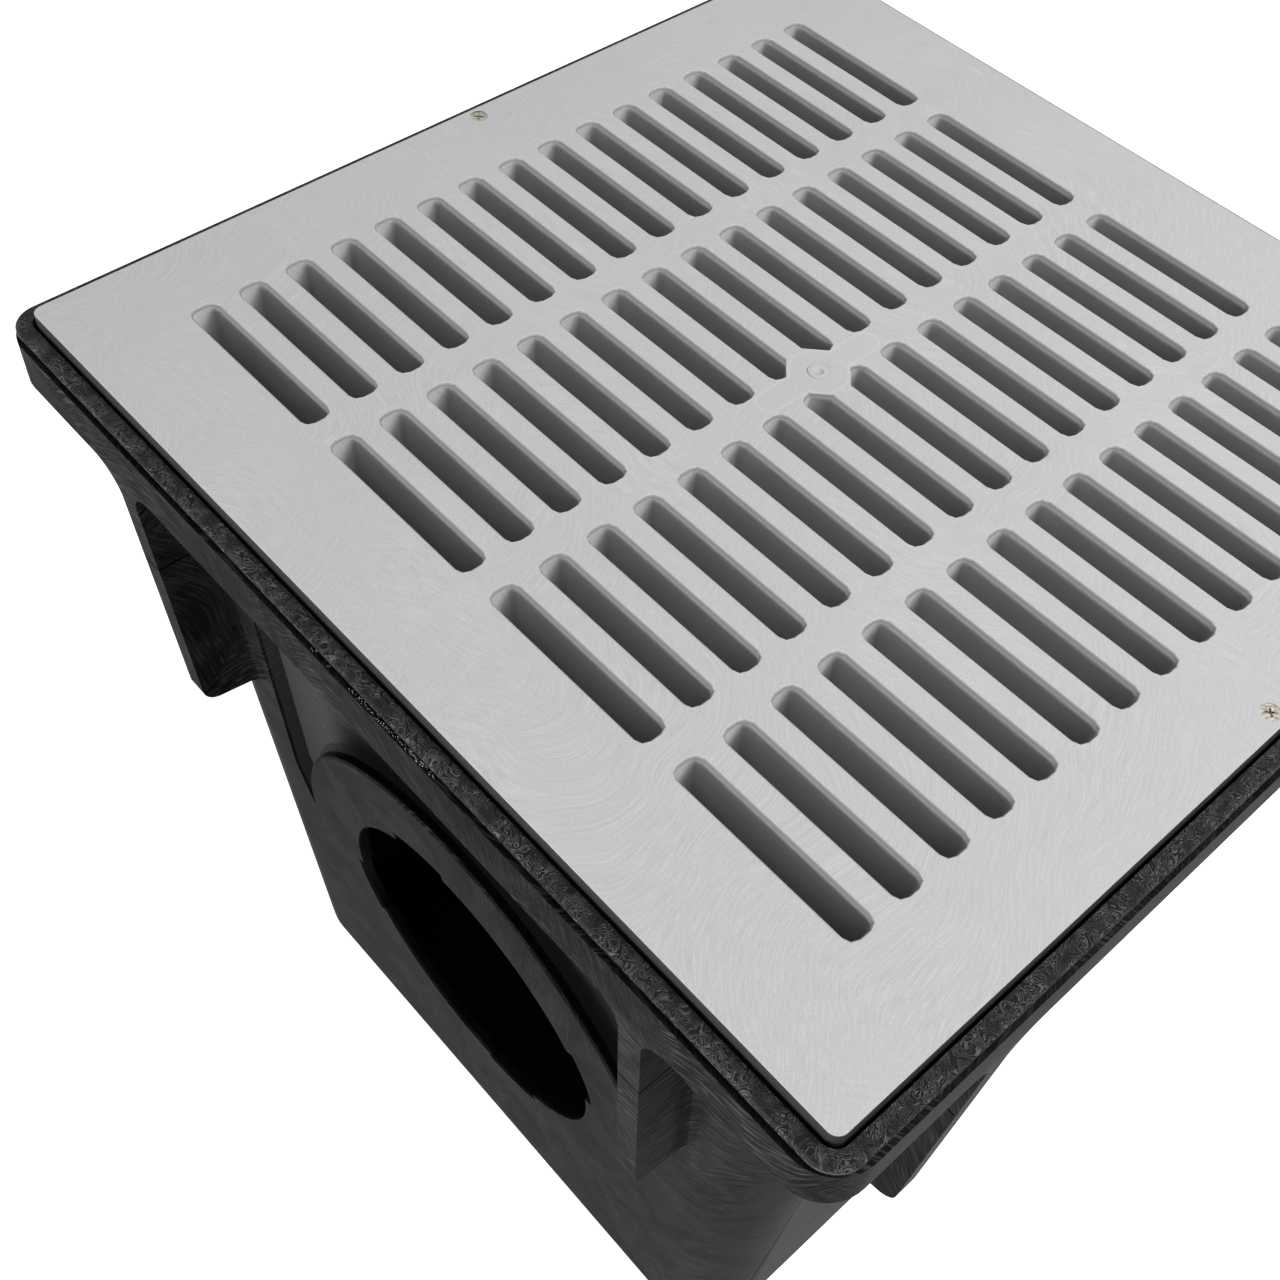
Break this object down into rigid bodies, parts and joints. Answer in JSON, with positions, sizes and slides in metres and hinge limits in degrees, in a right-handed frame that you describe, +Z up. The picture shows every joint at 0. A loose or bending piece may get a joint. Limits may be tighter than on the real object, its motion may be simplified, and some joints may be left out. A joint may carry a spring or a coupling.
{
  "type": "gully grate",
  "caption": "Square plastic gully basin with tapered walls, collar, gussets and round notched outlets, topped by a screwed-down slotted grate.",
  "frame": {"origin": "centre of the basin's underside, on the ground", "axes": "+Z up, +X along the length of the slots, +Y along each row of sixteen; a screw sits at each end of the X axis"},
  "size_m": [0.4702, 0.4702, 0.4685],
  "materials": {
    "basin_plastic": "satin moulded foam with fine swirls",
    "grate_plastic": "satin moulded foam with pale streaks",
    "screw_steel": "plain stainless"
  },
  "bodies": {
    "root": {"basin": "basin_plastic", "grate": "grate_plastic", "grate_screws": "screw_steel"}
  },
  "joints": []
}
